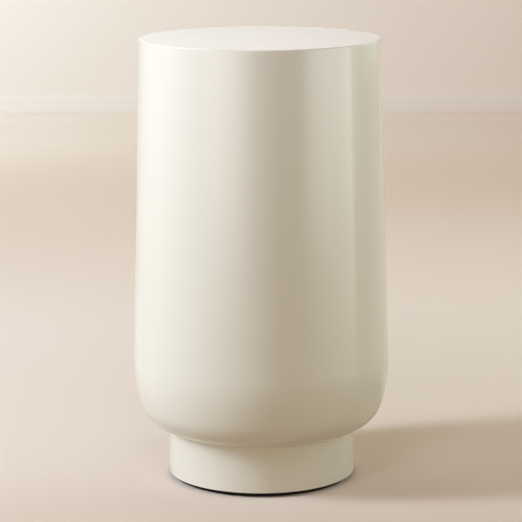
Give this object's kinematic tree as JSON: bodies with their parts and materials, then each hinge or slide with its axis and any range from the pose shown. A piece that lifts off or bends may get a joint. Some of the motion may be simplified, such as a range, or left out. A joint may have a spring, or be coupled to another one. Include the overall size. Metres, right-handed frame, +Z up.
{
  "type": "drink table",
  "caption": "Drum-shaped drink table with a flush round top, a slightly tapered side, a rounded lower corner and a narrower straight foot.",
  "frame": {"origin": "centre of the underside of the floor pad, on the floor", "axes": "+Z up along the drum's axis; the table is round, and the lugs inside lie on X and Y"},
  "size_m": [0.3047, 0.3048, 0.525],
  "materials": {
    "lacquer": "ivory gloss lacquer on sheet steel",
    "primed_steel": "matt grey primer",
    "base_black": "black powder coat",
    "board": "plain sanded board",
    "ballast_iron": "as cast, painted dull black",
    "zinc_steel": "bright zinc plate",
    "pad_rubber": "matt black, fine grain"
  },
  "bodies": {
    "root": {"top_panel": "lacquer", "side_shell": "lacquer", "bottom_bowl": "lacquer", "foot_ring": "lacquer", "top_seat_ring": "primed_steel", "seam_hoop": "primed_steel", "foot_lug_1": "primed_steel", "foot_lug_2": "primed_steel", "foot_lug_3": "primed_steel", "foot_lug_4": "primed_steel", "top_backing_board": "board", "base_plate": "base_black", "ballast_disc": "ballast_iron", "lug_nuts": "zinc_steel", "base_screws": "zinc_steel", "ballast_bolts": "zinc_steel", "ballast_washers": "zinc_steel", "ballast_nuts": "zinc_steel", "base_pad": "pad_rubber"}
  },
  "joints": []
}
